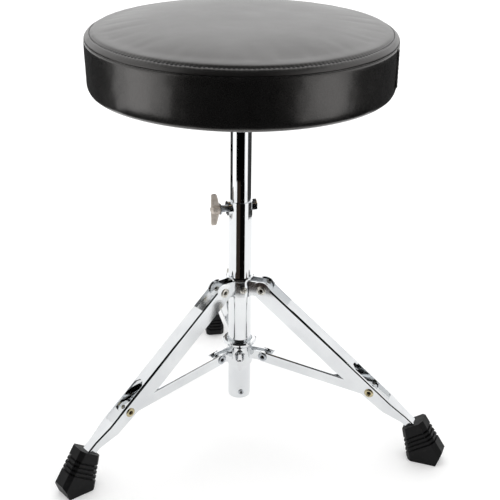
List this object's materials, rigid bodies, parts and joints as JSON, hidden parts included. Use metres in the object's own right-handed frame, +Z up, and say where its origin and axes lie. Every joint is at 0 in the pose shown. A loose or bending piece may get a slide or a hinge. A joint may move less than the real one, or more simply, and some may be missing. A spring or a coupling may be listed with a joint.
{
  "type": "drum throne",
  "caption": "Round padded drum throne with a crowned vinyl seat on a telescopic chromed post and a folding channel-leg tripod with ribbed rubber boots.",
  "frame": {"origin": "on the column's axis, at the floor that the boots stand on", "axes": "+Z up along the column; the back leg points along +Y; the wing bolt points about -X"},
  "size_m": [0.4232, 0.3975, 0.47],
  "materials": {
    "chromed_tube": "mirror chrome plate on drawn steel tube",
    "chromed_pressing": "mirror chrome plate on pressed steel sheet",
    "cast_chrome": "chrome plate on a zinc casting, slightly softer",
    "rivet_nickel": "passivated steel, faintly yellow",
    "zinc_steel": "bright zinc plate",
    "boot_rubber": "matt black moulded rubber",
    "seat_vinyl": "black vinyl with a fine grain, satin",
    "seat_foam": "open-cell foam",
    "plywood": "birch plywood, unfinished",
    "black_cloth": "non-woven black cloth",
    "black_plastic": "moulded black nylon",
    "black_enamel": "black stove enamel on steel plate"
  },
  "bodies": {
    "stand": {"outer_tube": "chromed_tube", "height_boss": "chromed_pressing", "guide_screw": "cast_chrome", "column_plug": "chromed_pressing", "column_rivet": "rivet_nickel", "upper_collar": "chromed_pressing", "collar_screw": "rivet_nickel", "leg_pivot_rivets": "rivet_nickel"},
    "post": {"seat_post": "chromed_tube", "post_top_plug": "black_plastic", "post_foot_plug": "black_plastic"},
    "seat": {"seat_top_cover": "seat_vinyl", "seat_side_band": "seat_vinyl", "seat_piping": "seat_vinyl", "band_join": "seat_vinyl", "foam_pad": "seat_foam", "seat_board": "plywood", "underside_cloth": "black_cloth", "seat_plate": "black_enamel", "socket_tube": "black_enamel", "swivel_bush": "black_plastic", "thrust_washer": "black_plastic", "socket_screw": "zinc_steel", "plate_screws": "zinc_steel", "tee_nuts": "zinc_steel"},
    "bolt_washer": {"height_bolt_washer": "zinc_steel"},
    "height_bolt": {"height_wing_bolt": "cast_chrome"},
    "sliding_collar": {"lower_collar": "chromed_pressing", "lock_boss": "chromed_pressing", "brace_pivot_rivets": "rivet_nickel"},
    "lock_washer": {"lock_screw_washer": "zinc_steel"},
    "lock_screw": {"lock_wing_screw": "cast_chrome"},
    "leg_1": {"leg_1": "chromed_pressing", "leg_studs_1": "rivet_nickel", "boot_1": "boot_rubber"},
    "brace_1": {"brace_1": "chromed_pressing"},
    "leg_2": {"leg_2": "chromed_pressing", "leg_studs_2": "rivet_nickel", "boot_2": "boot_rubber"},
    "brace_2": {"brace_2": "chromed_pressing"},
    "leg_3": {"leg_3": "chromed_pressing", "leg_studs_3": "rivet_nickel", "boot_3": "boot_rubber"},
    "brace_3": {"brace_3": "chromed_pressing"}
  },
  "joints": [
    {"name": "seat_height", "type": "slide", "parent": "stand", "child": "post", "axis": [0, 0, 1], "range_m": [-0.068, 0.102]},
    {"name": "seat_swivel", "type": "hinge", "parent": "post", "child": "seat", "pos_m": [0, 0, 0.39], "axis": [0, 0, 1], "continuous": true},
    {"name": "bolt_travel", "type": "slide", "parent": "stand", "child": "bolt_washer", "axis": [0.9903, 0.1392, 0], "range_m": [0, 0.007]},
    {"name": "bolt_turn", "type": "hinge", "parent": "bolt_washer", "child": "height_bolt", "pos_m": [-0.02278, -0.0032, 0.266], "axis": [0.9903, 0.1392, 0], "range_deg": [0, 2016]},
    {"name": "leg_1_fold", "type": "hinge", "parent": "stand", "child": "leg_1", "pos_m": [0, 0.028, 0.175], "axis": [-1, 0, 0], "range_deg": [0, 43.45]},
    {"name": "leg_2_fold", "type": "hinge", "parent": "stand", "child": "leg_2", "pos_m": [-0.02425, -0.014, 0.175], "axis": [0.5, -0.866, 0], "range_deg": [0, 43.45]},
    {"name": "leg_3_fold", "type": "hinge", "parent": "stand", "child": "leg_3", "pos_m": [0.02425, -0.014, 0.175], "axis": [0.5, 0.866, 0], "range_deg": [0, 43.45]},
    {"name": "collar_slide", "type": "slide", "parent": "stand", "child": "sliding_collar", "axis": [0, 0, 1], "range_m": [0, 0.04735]},
    {"name": "lock_travel", "type": "slide", "parent": "sliding_collar", "child": "lock_washer", "axis": [0.1392, 0.9903, 0], "range_m": [-0.003, 0.0006]},
    {"name": "lock_turn", "type": "hinge", "parent": "lock_washer", "child": "lock_screw", "pos_m": [-0.00278, -0.0198, 0.091], "axis": [0.1392, 0.9903, 0], "range_deg": [-1080, 216]},
    {"name": "brace_1_pivot", "type": "hinge", "parent": "sliding_collar", "child": "brace_1", "pos_m": [0, 0.03, 0.0915], "axis": [-1, 0, 0], "range_deg": [0, 72.71]},
    {"name": "brace_2_pivot", "type": "hinge", "parent": "sliding_collar", "child": "brace_2", "pos_m": [-0.02598, -0.015, 0.0915], "axis": [0.5, -0.866, 0], "range_deg": [0, 72.71]},
    {"name": "brace_3_pivot", "type": "hinge", "parent": "sliding_collar", "child": "brace_3", "pos_m": [0.02598, -0.015, 0.0915], "axis": [0.5, 0.866, 0], "range_deg": [0, 72.71]}
  ],
  "couplings": [
    {"joint": "bolt_travel", "follows": "bolt_turn", "m_per_rad": 0.00019894},
    {"joint": "lock_travel", "follows": "lock_turn", "m_per_rad": 0.00015915},
    {"joint": "leg_2_fold", "follows": "leg_1_fold", "ratio": 1},
    {"joint": "leg_3_fold", "follows": "leg_1_fold", "ratio": 1},
    {"joint": "collar_slide", "follows": "leg_1_fold", "m_per_rad": 0.062419},
    {"joint": "brace_1_pivot", "follows": "leg_1_fold", "ratio": 1.6731},
    {"joint": "brace_2_pivot", "follows": "leg_1_fold", "ratio": 1.6731},
    {"joint": "brace_3_pivot", "follows": "leg_1_fold", "ratio": 1.6731}
  ]
}
